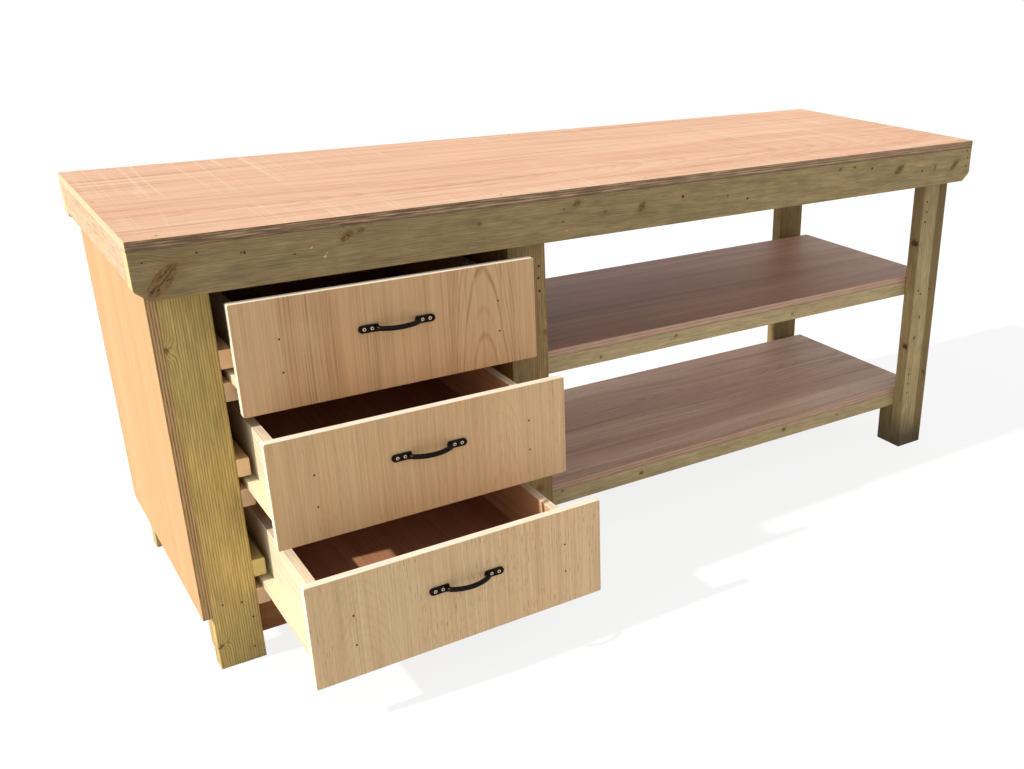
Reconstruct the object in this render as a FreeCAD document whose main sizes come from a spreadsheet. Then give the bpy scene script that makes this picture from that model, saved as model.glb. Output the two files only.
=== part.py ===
import FreeCAD, Part
import Sketcher
import math
import os
import re

# Timber workbench: a plywood top on an apron frame and six legs, three drawers on
# wooden runners at the left, and two open shelves at the right.
# The origin is on the floor at the middle of the bench's footprint, X runs to the
# right along the bench, Y to the back and Z up. The drawers stand part open.

doc = FreeCAD.newDocument("workbench")

# The drawers' levels, from the lowest up
levels = ("bottom", "middle", "top")

# Sizes in millimetres
sizes = {
    # the whole bench and its timber
    "bench_length": 2100,
    "bench_depth": 700,
    "bench_height": 893,
    "worktop_thick": 18,
    "timber_thick": 38,
    "timber_wide": 89,
    "timber_narrow": 63,
    "timber_ease": 2.2,
    # the cut corners of the aprons
    "apron_clip_length": 24,
    "apron_clip_rise": 21,
    "apron_clip_round": 9,
    # the drawer bay and its panels
    "drawer_bay_width": 590,
    "cross_rail_gap": 6,
    "panel_thick": 18,
    "panel_ease": 0.8,
    "kick_thick": 18,
    "kick_ground_gap": 34,
    # the open shelves
    "upper_shelf_top": 517,
    "lower_shelf_top": 178,
    "shelf_thick": 18,
    "shelf_end_inset": 6,
    "shelf_back_setback": 34,
    "post_depth": 50,
    # the battens that the drawers run between
    "runner_width": 24,
    "runner_height": 37,
    "runner_slot": 27.5,
    # the drawer boxes, and how far the base reaches past them
    "tongue_clearance": 13,
    "tongue_reach": 21,
    "drawer_thick": 18,
    "drawer_headroom": 92,
    "drawer_back_gap": 6,
    "drawer_ease": 0.8,
    # the drawer fronts: how they lap the bay, and how far each hangs below its base
    "front_inset": 13,
    "front_lap": 29,
    "front_top_gap": 20,
    "front_step_gap": 5,
    "front_corner": 3,
    "front_ease": 0.8,
    "front_drop_top": 52,
    "front_drop_middle": 57,
    "front_drop_bottom": 62,
    # how far each drawer stands open
    "opening_top": 42,
    "opening_middle": 155,
    "opening_bottom": 290,
    # the bow handles and their screws
    "handle_length": 155,
    "handle_foot_length": 39,
    "handle_foot_height": 15,
    "handle_foot_thick": 4.5,
    "handle_foot_ease": 0.7,
    "handle_boss_length": 6,
    "handle_boss_thick": 6.5,
    "handle_bar_dia": 10,
    "handle_reach": 25,
    "handle_bend": 10,
    "handle_bow": 70,
    "handle_offset": 2,
    "handle_below_top": 87,
    "screw_outer": 66.5,
    "screw_inner": 51,
    "screw_head_dia": 7,
    "screw_head_deep": 2,
    "screw_head_dome": 0.8,
    "screw_shank_dia": 3.6,
    "screw_length": 16,
    "screw_clearance": 0.05,
}

sheet = doc.addObject("Spreadsheet::Sheet", "Sizes")
for row, (name, number) in enumerate(sizes.items(), start=1):
    sheet.set("A%d" % row, name)
    sheet.set("B%d" % row, str(number))
    sheet.setAlias("B%d" % row, name)
doc.recompute()

# Places that several pieces share, each worked out from the sizes
places = {
    "left_end": "-bench_length / 2",
    "right_end": "bench_length / 2",
    "front_edge": "-bench_depth / 2",
    "rear_edge": "bench_depth / 2",
    "floor": "0",
    "top_under": "bench_height - worktop_thick",
    "apron_under": "top_under - timber_wide",
    "rail_under": "top_under - timber_narrow",
    "front_leg_face": "front_edge + timber_thick",
    "front_leg_back": "front_leg_face + timber_thick",
    "rear_leg_back": "rear_edge - timber_thick",
    "rear_leg_face": "rear_leg_back - timber_thick",
    "left_leg": "left_end + timber_thick",
    "left_leg_inner": "left_leg + timber_wide",
    "middle_leg": "left_leg_inner + drawer_bay_width",
    "middle_leg_end": "middle_leg + timber_wide",
    "right_leg_end": "right_end - timber_thick",
    "right_leg": "right_leg_end - timber_wide",
    "panel_under": "lower_shelf_top - shelf_thick - timber_thick",
    "panel_back": "rear_leg_back + panel_thick",
    "divider_end": "middle_leg + panel_thick",
    "shelf_end": "right_leg_end - shelf_end_inset",
    "shelf_back": "rear_leg_face - shelf_back_setback",
    "front_rail_back": "front_leg_back + timber_narrow",
    "rear_rail_front": "rear_leg_face - timber_narrow",
    "tongue_left": "left_leg_inner + tongue_clearance",
    "tongue_right": "middle_leg - tongue_clearance",
    "box_left": "tongue_left + tongue_reach",
    "box_right": "tongue_right - tongue_reach",
    "front_left": "left_leg_inner + front_inset",
    "front_width": "drawer_bay_width - front_inset + front_lap",
    "front_height": "runner_pitch - front_step_gap",
    "lowest_runner_top": "lower_shelf_top - shelf_thick",
    "stack_top": "apron_under - front_top_gap + front_drop_top + front_step_gap",
    "runner_pitch": "(stack_top - lowest_runner_top) / %d" % len(levels),
    "drawer_box_height": "runner_pitch - drawer_thick - drawer_headroom",
    "drawer_box_length": "rear_leg_face - front_leg_face - drawer_back_gap",
}


def formula(text):
    """Write a plain sum as an expression on the sheet's cells."""

    def word_for(match):
        word = match.group(0)
        if word in places:
            return "(" + formula(places[word]) + ")"
        if word in sizes:
            return "Sizes." + word
        return word

    return re.sub(r"[a-z_]+", word_for, text)


def size(name):
    """Read one size back from the sheet."""
    return float(sheet.get(name))


def bind(item, path, text):
    item.setExpression(path, formula(text))


def put(item, corner):
    """Bind an object's place to the sums for its low corner."""
    for axis, text in zip("xyz", corner):
        bind(item, "Placement.Base." + axis, text)


nodes = []

# The plane that a section is drawn on, its two axes, and whether it is padded backwards
section_planes = {
    "x": ("YZ_Plane", "y", "z", False),
    "y": ("XZ_Plane", "x", "z", True),
    "z": ("XY_Plane", "x", "y", False),
}


def new_body(name):
    body = doc.addObject("PartDesign::Body", name)
    body.Label = name
    nodes.append(body)
    return body


def new_sketch(body, name, role):
    """Start a sketch on one of the body's own origin planes."""
    sketch = body.newObject("Sketcher::SketchObject", name)
    plane = [item for item in body.Origin.OriginFeatures if item.Role == role][0]
    sketch.AttachmentSupport = [(plane, "")]
    sketch.MapMode = "FlatFace"
    return sketch


def add_outline(sketch, corners):
    """Draw a closed outline of straight sides. Each corner has a sum along each axis,
    or no sum where it lies on the other axis."""
    count = len(corners)
    spots = []
    for index in range(count):
        turn = 2 * math.pi * (index + 0.5) / count
        spots.append(FreeCAD.Vector(1 - math.cos(turn), 1 - math.sin(turn)))
    for index in range(count):
        sketch.addGeometry(Part.LineSegment(spots[index], spots[(index + 1) % count]), False)
    for index in range(count):
        following = (index + 1) % count
        sketch.addConstraint(Sketcher.Constraint("Coincident", index, 2, following, 1))
    for index, sums in enumerate(corners):
        for kind, axis, text in zip(("DistanceX", "DistanceY"), (-2, -1), sums):
            if text:
                start = Sketcher.Constraint(kind, -1, 1, index, 1, 1.0)
                number = sketch.addConstraint(start)
                bind(sketch, "Constraints[%d]" % number, text)
            else:
                sketch.addConstraint(Sketcher.Constraint("PointOnObject", index, 1, axis))


def add_rectangle(sketch, width, height):
    """Draw a rectangle from the sketch's origin, its sides bound to two sums."""
    spots = [FreeCAD.Vector(*corner) for corner in ((0, 0), (1, 0), (1, 1), (0, 1))]
    for index in range(4):
        sketch.addGeometry(Part.LineSegment(spots[index], spots[(index + 1) % 4]), False)
    for index in range(4):
        sketch.addConstraint(Sketcher.Constraint("Coincident", index, 2, (index + 1) % 4, 1))
    for index, kind in enumerate(("Horizontal", "Vertical", "Horizontal", "Vertical")):
        sketch.addConstraint(Sketcher.Constraint(kind, index))
    sketch.addConstraint(Sketcher.Constraint("Coincident", 0, 1, -1, 1))
    across = sketch.addConstraint(Sketcher.Constraint("DistanceX", 0, 1, 0, 2, 1.0))
    upward = sketch.addConstraint(Sketcher.Constraint("DistanceY", 1, 1, 1, 2, 1.0))
    bind(sketch, "Constraints[%d]" % across, width)
    bind(sketch, "Constraints[%d]" % upward, height)


def pad_section(body, sketch, length, backwards):
    pad = body.newObject("PartDesign::Pad", body.Name + "_pad")
    pad.Profile = sketch
    pad.Reversed = backwards
    bind(pad, "Length", length)
    doc.recompute()
    return pad


def runs_along(edge, axis):
    """Say whether an edge is straight and parallel to the named axis."""
    if not isinstance(edge.Curve, Part.Line):
        return False
    return math.isclose(abs(getattr(edge.Curve.Direction, axis)), 1)


def round_edges(body, base, wanted, radius, name):
    """Round the edges of a feature for which wanted is true."""
    names = []
    for number, edge in enumerate(base.Shape.Edges, start=1):
        if wanted(edge):
            names.append("Edge%d" % number)
    fillet = body.newObject("PartDesign::Fillet", body.Name + name)
    fillet.Base = (base, names)
    bind(fillet, "Radius", radius)
    body.Tip = fillet
    doc.recompute()
    return fillet


def spans_between(low, high):
    return ["(%s) - (%s)" % (top, bottom) for bottom, top in zip(low, high)]


def timber(name, along, low, high):
    """A planed length of timber with eased arrises, between two corners."""
    body = new_body(name)
    role, across, upward, backwards = section_planes[along]
    spans = dict(zip("xyz", spans_between(low, high)))
    section = new_sketch(body, name + "_section", role)
    add_rectangle(section, spans[across], spans[upward])
    pad = pad_section(body, section, spans[along], backwards)
    round_edges(body, pad, lambda edge: runs_along(edge, along), "timber_ease", "_arrises")
    put(body, low)


def board(name, low, high, ease="panel_ease"):
    """A sheet of plywood between two corners, with every edge just broken."""
    body = new_body(name)
    spans = spans_between(low, high)
    outline = new_sketch(body, name + "_outline", "XY_Plane")
    add_rectangle(outline, spans[0], spans[1])
    pad = pad_section(body, outline, spans[2], False)
    round_edges(body, pad, lambda edge: True, ease, "_edges")
    put(body, low)


def outlined(name, role, backwards, corners, length, low):
    """Start a piece that is padded from an outline with more than four corners."""
    body = new_body(name)
    outline = new_sketch(body, name + "_outline", role)
    add_outline(outline, corners)
    pad = pad_section(body, outline, length, backwards)
    put(body, low)
    return body, pad


# Worktop and its frame

board(
    "worktop",
    ("left_end", "front_edge", "top_under"),
    ("right_end", "rear_edge", "bench_height"),
)


def apron(name, face):
    """A long board on edge whose lower corners are cut off at both ends."""
    corners = [
        ("apron_clip_length", ""),
        ("bench_length - apron_clip_length", ""),
        ("bench_length", "apron_clip_rise"),
        ("bench_length", "timber_wide"),
        ("", "timber_wide"),
        ("", "apron_clip_rise"),
    ]
    low = ("left_end", face, "apron_under")
    body, pad = outlined(name, "XZ_Plane", True, corners, "timber_thick", low)

    def is_clip_corner(edge):
        return runs_along(edge, "y") and edge.CenterOfMass.z < size("timber_wide") / 2

    clipped = round_edges(body, pad, is_clip_corner, "apron_clip_round", "_clips")
    round_edges(body, clipped, lambda edge: not runs_along(edge, "y"), "timber_ease", "_arrises")


apron("front_apron", "front_edge")
apron("rear_apron", "rear_leg_back")

cross_rail_left = "middle_leg_end + cross_rail_gap"
rail_ends = {
    "end_rail_left": ("left_end", "left_leg"),
    "end_rail_right": ("right_leg_end", "right_end"),
    "cross_rail": (cross_rail_left, cross_rail_left + " + timber_thick"),
}
for name, (start, end) in rail_ends.items():
    low = (start, "front_leg_face", "rail_under")
    timber(name, "y", low, (end, "rear_leg_back", "top_under"))

# Six legs, their wide faces to the front

leg_spans = {
    "left": ("left_leg", "left_leg_inner"),
    "middle": ("middle_leg", "middle_leg_end"),
    "right": ("right_leg", "right_leg_end"),
}
leg_rows = {
    "front": ("front_leg_face", "front_leg_back"),
    "rear": ("rear_leg_face", "rear_leg_back"),
}
for row, (face, back) in leg_rows.items():
    for side, (start, end) in leg_spans.items():
        timber("leg_%s_%s" % (row, side), "z", (start, face, "floor"), (end, back, "top_under"))

# Panels round the drawer bay. The side panel is notched under the rear apron.

panel_length = "panel_back - front_leg_face"
notch_start = "rear_leg_back - front_leg_face"
notch_rise = "apron_under - panel_under"
panel_rise = "rail_under - panel_under"
side_corners = [
    ("", ""),
    (panel_length, ""),
    (panel_length, notch_rise),
    (notch_start, notch_rise),
    (notch_start, panel_rise),
    ("", panel_rise),
]
side_low = ("left_leg - panel_thick", "front_leg_face", "panel_under")
side_body, side_pad = outlined("side_panel", "YZ_Plane", False, side_corners, "panel_thick", side_low)
round_edges(side_body, side_pad, lambda edge: not runs_along(edge, "x"), "panel_ease", "_edges")

board(
    "back_panel",
    ("left_leg", "rear_leg_back", "panel_under"),
    ("middle_leg_end", "panel_back", "apron_under"),
)
board(
    "divider_panel",
    ("middle_leg", "front_leg_back", "panel_under"),
    ("divider_end", "rear_leg_face", "top_under"),
)
board(
    "kick_board",
    ("left_leg", "front_leg_back", "kick_ground_gap"),
    ("middle_leg", "front_leg_back + kick_thick", "panel_under"),
)

# Two shelves, each a board on two flat rails, and the posts under the lower one

shelf_rails = {
    "front": ("front_leg_back", "front_rail_back"),
    "rear": ("rear_rail_front", "rear_leg_face"),
}
for level in ("upper", "lower"):
    shelf_top = level + "_shelf_top"
    shelf_under = shelf_top + " - shelf_thick"
    rail_bottom = shelf_under + " - timber_thick"
    shelf_low = ("divider_end", "front_leg_back", shelf_under)
    board(level + "_shelf", shelf_low, ("shelf_end", "shelf_back", shelf_top))
    for row, (face, back) in shelf_rails.items():
        rail_name = "%s_shelf_%s_rail" % (level, row)
        timber(rail_name, "x", ("divider_end", face, rail_bottom), ("shelf_end", back, shelf_under))

post_spans = {
    "front": ("front_leg_back", "front_leg_back + post_depth"),
    "rear": ("rear_leg_face - post_depth", "rear_leg_face"),
}
for row, (face, back) in post_spans.items():
    post_low = ("right_leg", face, "floor")
    timber("shelf_post_" + row, "z", post_low, ("right_leg_end", back, "panel_under"))

# Runners. Each drawer's base slides between a lower and an upper batten on each side.

runner_sides = {
    "left": ("left_leg_inner", "left_leg_inner + runner_width"),
    "right": ("middle_leg - runner_width", "middle_leg"),
}
for step, level in enumerate(levels):
    lower_top = "lowest_runner_top + %d * runner_pitch" % step
    upper_under = lower_top + " + runner_slot"
    battens = {
        "lower": (lower_top + " - runner_height", lower_top),
        "upper": (upper_under, upper_under + " + runner_height"),
    }
    for side, (start, end) in runner_sides.items():
        for place, (bottom, top) in battens.items():
            batten_low = (start, "front_leg_face", bottom)
            batten_high = (end, "rear_leg_back", top)
            timber("runner_%s_%s_%s" % (level, place, side), "y", batten_low, batten_high)

# Drawers. The front is a board that laps the legs and is screwed to the box behind it.
# The base reaches out past the box's sides as tongues that lie on the runners.

screw_places = (" - screw_outer", " - screw_inner", " + screw_inner", " + screw_outer")


def add_pilot_holes(body, base):
    """Drill the front board for the four screws of its handle."""
    holes = new_sketch(body, body.Name + "_pilot_holes", "XZ_Plane")
    for index, away in enumerate(screw_places):
        guess = FreeCAD.Vector(index + 1, 1)
        holes.addGeometry(Part.Circle(guess, FreeCAD.Vector(0, 0, 1), 1.0), False)
        sums = {
            "DistanceX": "front_width / 2 + handle_offset" + away,
            "DistanceY": "front_height - handle_below_top",
        }
        for kind, text in sums.items():
            held = holes.addConstraint(Sketcher.Constraint(kind, -1, 1, index, 3, 1.0))
            bind(holes, "Constraints[%d]" % held, text)
        wide = holes.addConstraint(Sketcher.Constraint("Radius", index, 1.0))
        bind(holes, "Constraints[%d]" % wide, "screw_shank_dia / 2 + screw_clearance")
    pocket = body.newObject("PartDesign::Pocket", body.Name + "_pilots")
    pocket.Profile = holes
    bind(pocket, "Length", "screw_length - handle_foot_thick + screw_clearance")
    body.Tip = pocket
    doc.recompute()
    if pocket.Shape.Volume >= base.Shape.Volume:
        raise RuntimeError("The pilot holes of %s cut nothing" % body.Name)


def drawer_front(name, low):
    """The front board, with rounded corners."""
    body = new_body(name)
    outline = new_sketch(body, name + "_outline", "XZ_Plane")
    add_rectangle(outline, "front_width", "front_height")
    pad = pad_section(body, outline, "drawer_thick", True)
    corners = round_edges(
        body, pad, lambda edge: runs_along(edge, "y"), "front_corner", "_corners"
    )
    eased = round_edges(
        body, corners, lambda edge: not runs_along(edge, "y"), "front_ease", "_edges"
    )
    add_pilot_holes(body, eased)
    put(body, low)


def handle_foot(way):
    """One foot of the handle, lying on the plane y = 0, its outer end round."""
    tall = size("handle_foot_height")
    half = tall / 2
    outer = size("handle_length") / 2
    inner = outer - size("handle_foot_length")
    round_start = outer - half
    low_inner = FreeCAD.Vector(way * inner, 0, -half)
    low_outer = FreeCAD.Vector(way * round_start, 0, -half)
    tip = FreeCAD.Vector(way * outer, 0, 0)
    high_outer = FreeCAD.Vector(way * round_start, 0, half)
    high_inner = FreeCAD.Vector(way * inner, 0, half)
    outline = Part.Wire(
        [
            Part.LineSegment(low_inner, low_outer).toShape(),
            Part.Arc(low_outer, tip, high_outer).toShape(),
            Part.LineSegment(high_outer, high_inner).toShape(),
            Part.LineSegment(high_inner, low_inner).toShape(),
        ]
    )
    thick = size("handle_foot_thick")
    plate = Part.Face(outline).extrude(FreeCAD.Vector(0, -thick, 0))
    rim = [edge for edge in plate.Edges if math.isclose(edge.CenterOfMass.y, -thick)]
    plate = plate.makeFillet(size("handle_foot_ease"), rim)
    long = size("handle_boss_length")
    deep = size("handle_boss_thick")
    start = inner if way > 0 else -inner - long
    boss = Part.makeBox(long, deep, tall, FreeCAD.Vector(start, -deep, -half))
    boss_rim = [edge for edge in boss.Edges if math.isclose(edge.CenterOfMass.y, -deep)]
    boss = boss.makeFillet(size("handle_foot_ease"), boss_rim)
    foot = plate.fuse(boss)
    for place in (size("screw_inner"), size("screw_outer")):
        foot = foot.cut(screw_solid(way * place, size("screw_clearance")))
    return foot


def screw_solid(across, spare):
    """A countersunk screw that goes in along +Y from a foot's face. Spare makes its hole."""
    face = -size("handle_foot_thick")
    head = size("screw_head_dia") / 2 + spare
    shank = size("screw_shank_dia") / 2 + spare
    neck = face + size("screw_head_deep")
    tip = face + size("screw_length")
    crown = face - size("screw_head_dome")
    profile = Part.Wire(
        [
            Part.LineSegment(FreeCAD.Vector(0, crown, 0), FreeCAD.Vector(0, tip, 0)).toShape(),
            Part.LineSegment(FreeCAD.Vector(0, tip, 0), FreeCAD.Vector(shank, tip, 0)).toShape(),
            Part.LineSegment(FreeCAD.Vector(shank, tip, 0), FreeCAD.Vector(shank, neck, 0)).toShape(),
            Part.LineSegment(FreeCAD.Vector(shank, neck, 0), FreeCAD.Vector(head, face, 0)).toShape(),
            Part.LineSegment(FreeCAD.Vector(head, face, 0), FreeCAD.Vector(0, crown, 0)).toShape(),
        ]
    )
    solid = Part.Face(profile).revolve(FreeCAD.Vector(), FreeCAD.Vector(0, 1, 0), 360)
    solid.translate(FreeCAD.Vector(across, 0, 0))
    return solid


def handle_bar():
    """The bowed bar: straight out of each foot, a bend, and a long bow between."""
    bend = size("handle_bend")
    bow = size("handle_bow")
    radius = size("handle_bar_dia") / 2
    stand = size("handle_length") / 2 - size("handle_foot_length") + size("handle_boss_length") / 2
    lean = math.asin((stand - bend) / (bow - bend))
    rise = bend * math.cos(lean) + bow * (1 - math.cos(lean))
    straight = size("handle_reach") - rise

    def bend_point(way, turn):
        across = stand - bend + bend * math.cos(turn)
        return FreeCAD.Vector(way * across, -straight - bend * math.sin(turn), 0)

    turned = math.pi / 2 - lean
    middle = FreeCAD.Vector(0, -size("handle_reach"), 0)
    edges = []
    for way in (-1, 1):
        foot = FreeCAD.Vector(way * stand, 0, 0)
        start = bend_point(way, 0)
        end = bend_point(way, turned)
        run = [
            Part.LineSegment(foot, start).toShape(),
            Part.Arc(start, bend_point(way, turned / 2), end).toShape(),
        ]
        edges.append(run)
    bow_arc = Part.Arc(bend_point(-1, turned), middle, bend_point(1, turned)).toShape()
    spine = Part.Wire(edges[0] + [bow_arc] + edges[1][::-1])
    centre = FreeCAD.Vector(-stand, 0, 0)
    section = Part.Wire([Part.Circle(centre, FreeCAD.Vector(0, 1, 0), radius).toShape()])
    return spine.makePipeShell([section], True, False)


def shaped(name, shape, place):
    """A piece whose shape is worked out here, with its place bound to the sheet."""
    item = doc.addObject("Part::Feature", name)
    item.Label = name
    item.Shape = shape
    put(item, place)
    nodes.append(item)


handle_shape = handle_bar().fuse([handle_foot(-1), handle_foot(1)]).removeSplitter()
screw_centres = (size("screw_inner"), size("screw_outer"))
screw_shapes = [screw_solid(way * place, 0) for way in (-1, 1) for place in screw_centres]

for step, level in enumerate(levels):
    drawer = "drawer_%s_" % level
    base_under = "lowest_runner_top + %d * runner_pitch" % step
    base_top = base_under + " + drawer_thick"
    box_top = base_top + " + drawer_box_height"
    box_front = "front_leg_face - opening_" + level
    box_back = box_front + " + drawer_box_length"
    front_face = box_front + " - drawer_thick"
    front_bottom = base_under + " - front_drop_" + level
    inside_left = "box_left + drawer_thick"
    inside_right = "box_right - drawer_thick"
    inside_front = box_front + " + drawer_thick"
    inside_back = box_back + " - drawer_thick"
    walls = {
        "base": (("tongue_left", box_front, base_under), ("tongue_right", box_back, base_top)),
        "side_left": (("box_left", box_front, base_top), (inside_left, box_back, box_top)),
        "side_right": (("box_right - drawer_thick", box_front, base_top), ("box_right", box_back, box_top)),
        "box_front": ((inside_left, box_front, base_top), (inside_right, inside_front, box_top)),
        "box_back": ((inside_left, inside_back, base_top), (inside_right, box_back, box_top)),
    }
    for name, (low, high) in walls.items():
        board(drawer + name, low, high, "drawer_ease")
    drawer_front(drawer + "front", ("front_left", front_face, front_bottom))
    handle_place = (
        "front_left + front_width / 2 + handle_offset",
        front_face,
        front_bottom + " + front_height - handle_below_top",
    )
    shaped(drawer + "handle", handle_shape, handle_place)
    shaped(drawer + "handle_screws", Part.makeCompound(screw_shapes), handle_place)

# Check every object before anything is written

doc.recompute()
for item in doc.Objects:
    if "Invalid" in item.State or "Error" in item.State:
        raise RuntimeError("%s failed: %s" % (item.Name, item.State))
for node in nodes:
    if node.Shape.isNull() or not node.Shape.isValid():
        raise RuntimeError("%s has no valid shape" % node.Label)

os.makedirs("parts", exist_ok=True)
for node in nodes:
    node.Shape.exportStep("parts/%s.step" % node.Label)
print("Wrote %d pieces" % len(nodes))
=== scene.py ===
import math
from types import SimpleNamespace
import bpy
from mathutils import Matrix, Vector


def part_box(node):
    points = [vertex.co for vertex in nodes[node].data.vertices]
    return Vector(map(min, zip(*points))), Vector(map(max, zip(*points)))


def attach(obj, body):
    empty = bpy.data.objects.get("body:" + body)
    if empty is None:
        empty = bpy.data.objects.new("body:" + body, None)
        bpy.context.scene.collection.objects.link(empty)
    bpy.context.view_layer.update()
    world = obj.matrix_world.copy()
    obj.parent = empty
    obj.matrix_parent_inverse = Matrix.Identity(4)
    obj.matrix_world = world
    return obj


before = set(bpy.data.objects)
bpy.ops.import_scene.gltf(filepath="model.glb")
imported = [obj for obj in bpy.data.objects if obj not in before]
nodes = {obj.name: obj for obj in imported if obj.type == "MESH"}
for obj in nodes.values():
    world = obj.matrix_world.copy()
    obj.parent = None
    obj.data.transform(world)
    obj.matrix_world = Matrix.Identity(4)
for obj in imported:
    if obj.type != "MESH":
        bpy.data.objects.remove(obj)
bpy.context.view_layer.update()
scene = bpy.context.scene
scene.view_settings.view_transform = "Standard"
mm = 0.001
print("frame loaded with", len(nodes), "nodes")

# Small helpers for node trees

def colour(red, green, blue):     # 0 to 255 as a paint chart gives it, made linear by the sRGB rule
    def channel(value):
        value /= 255
        return value / 12.92 if value <= 0.04045 else ((value + 0.055) / 1.055) ** 2.4
    return channel(red), channel(green), channel(blue), 1

def darker(tone, by):
    return tone[0] * by, tone[1] * by, tone[2] * by, 1

def feed(tree, socket, value):
    if isinstance(value, bpy.types.NodeSocket):
        tree.links.new(value, socket)
    else:
        socket.default_value = value

def addNode(tree, kind, inputs=None, **settings):
    made = tree.nodes.new(kind)
    for setting, value in settings.items():
        setattr(made, setting, value)
    for socket, value in (inputs or {}).items():
        feed(tree, made.inputs[socket], value)
    return made

def calc(tree, operation, *values):
    return addNode(tree, "ShaderNodeMath", dict(enumerate(values)), operation=operation).outputs[0]

def times(tree, product, *others):
    for value in others:
        product = calc(tree, "MULTIPLY", product, value)
    return product

def vectorCalc(tree, operation, *values):
    made = addNode(tree, "ShaderNodeVectorMath", dict(enumerate(values)), operation=operation)
    return made.outputs["Value" if operation == "LENGTH" else "Vector"]

def split(tree, vector):
    return addNode(tree, "ShaderNodeSeparateXYZ", {0: vector}).outputs

mixSockets = {"RGBA": (6, 7, 2), "VECTOR": (4, 5, 1)}     # the first value, the second and the result

def blend(tree, factor, first, second, mode="MIX", kind="RGBA"):
    low, high, result = mixSockets[kind]
    wanted = {0: factor, low: first, high: second}
    return addNode(tree, "ShaderNodeMix", wanted, data_type=kind, blend_type=mode).outputs[result]

def toned(tree, shade, by):     # a colour multiplied by a value or by another colour
    return blend(tree, 1.0, shade, by, "MULTIPLY")

def remap(tree, value, low, high, toLow=0.0, toHigh=1.0):
    limits = {"Value": value, "From Min": low, "From Max": high, "To Min": toLow, "To Max": toHigh}
    return addNode(tree, "ShaderNodeMapRange", limits, interpolation_type="SMOOTHSTEP").outputs[0]

def scaled(tree, place, stretch):
    return addNode(tree, "ShaderNodeMapping", {"Vector": place, "Scale": stretch}).outputs[0]

def noise(tree, place, stretch, detail, output=0):
    wanted = {"Vector": scaled(tree, place, stretch), "Scale": 1, "Detail": detail}
    return addNode(tree, "ShaderNodeTexNoise", wanted).outputs[output]

def spread(tree, place, stretch, detail, limits, to=()):     # noise, drawn out between its limits
    return remap(tree, noise(tree, place, stretch, detail), *limits, *to)

def noiseAlong(tree, distance, stretch, start=0):
    moved = calc(tree, "MULTIPLY_ADD", distance, stretch, start)
    wanted = {"W": moved, "Scale": 1, "Detail": 2}
    return addNode(tree, "ShaderNodeTexNoise", wanted, noise_dimensions="1D").outputs[0]

noiseMiddle = 0.5     # every noise swings about this

def wander(tree, place, stretch, reach):     # pushes the pattern about, by less than reach metres
    push = vectorCalc(tree, "SUBTRACT", noise(tree, place, stretch, 1, 1), (noiseMiddle,) * 3)
    return vectorCalc(tree, "ADD", place, vectorCalc(tree, "MULTIPLY", push, reach))

def contour(tree, place, stretch, wide):     # thin wandering lines: where a slow noise crosses its middle
    level = calc(tree, "SUBTRACT", noise(tree, place, stretch, 1), noiseMiddle)
    return remap(tree, calc(tree, "ABSOLUTE", level), 0, wide, 1, 0)

def ramp(tree, factor, stops):
    made = addNode(tree, "ShaderNodeValToRGB", {0: factor})
    band = made.color_ramp.elements
    band.remove(band[1])
    band[0].position = stops[0][0]
    band[0].color = (stops[0][1],) * 3 + (1,)
    for where, shade in stops[1:]:
        band.new(where).color = (shade, shade, shade, 1)
    return made.outputs[0]

def startMaterial(name, rough, specular):
    made = bpy.data.materials.new(name)
    made.use_nodes = True
    surface = made.node_tree.nodes["Principled BSDF"]
    surface.inputs["Roughness"].default_value = rough
    surface.inputs["Specular IOR Level"].default_value = specular
    return made, made.node_tree, surface

def paint(tree, surface, shade):
    tree.links.new(shade, surface.inputs["Base Color"])

def addBump(tree, surface, height, depth, strength):
    bump = addNode(tree, "ShaderNodeBump", {"Strength": strength, "Distance": depth, "Height": height})
    tree.links.new(bump.outputs["Normal"], surface.inputs["Normal"])

# Places on a board. An axes word such as "zxy" reads: along the grain, across it, through the board.

def turned(tree, vector, axes):
    parts = split(tree, vector)
    sockets = {index: parts["xyz".index(axis)] for index, axis in enumerate(axes)}
    return addNode(tree, "ShaderNodeCombineXYZ", sockets).outputs[0]

def onBoard(vector, axes):
    return tuple(vector["xyz".index(axis)] for axis in axes)

def startBoard(name, node, axes, count, look, seedStep):     # places are metres from the board's low corner
    made, tree, surface = startMaterial(name, look["rough"], look["specular"])
    coordinates = addNode(tree, "ShaderNodeTexCoord").outputs
    low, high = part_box(node)
    place = addNode(tree, "ShaderNodeMapping", {
        "Vector": turned(tree, coordinates["Object"], axes),
        "Location": tuple(-value for value in onBoard(low, axes)),
    }).outputs[0]
    facing = vectorCalc(tree, "ABSOLUTE", turned(tree, coordinates["Normal"], axes))
    along, across, through = split(tree, place)
    seed = tuple(count * step for step in seedStep)
    return SimpleNamespace(
        made=made, tree=tree, surface=surface, count=count, seed=seed, size=onBoard(high - low, axes),
        place=place, along=along, across=across, through=through, facing=split(tree, facing),
        grain=vectorCalc(tree, "ADD", place, seed),
    )

def ringDistance(tree, place, pith, lean):     # how far out from the heart of the tree
    moved = addNode(tree, "ShaderNodeMapping", {
        "Vector": place, "Location": (0, -pith[0], -pith[1]), "Rotation": (0, lean[1], lean[0]),
    }).outputs[0]
    return vectorCalc(tree, "LENGTH", vectorCalc(tree, "MULTIPLY", moved, (0, 1, 1)))

farAway = 20.0     # in radii of a spot: the distance where none is near

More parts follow.
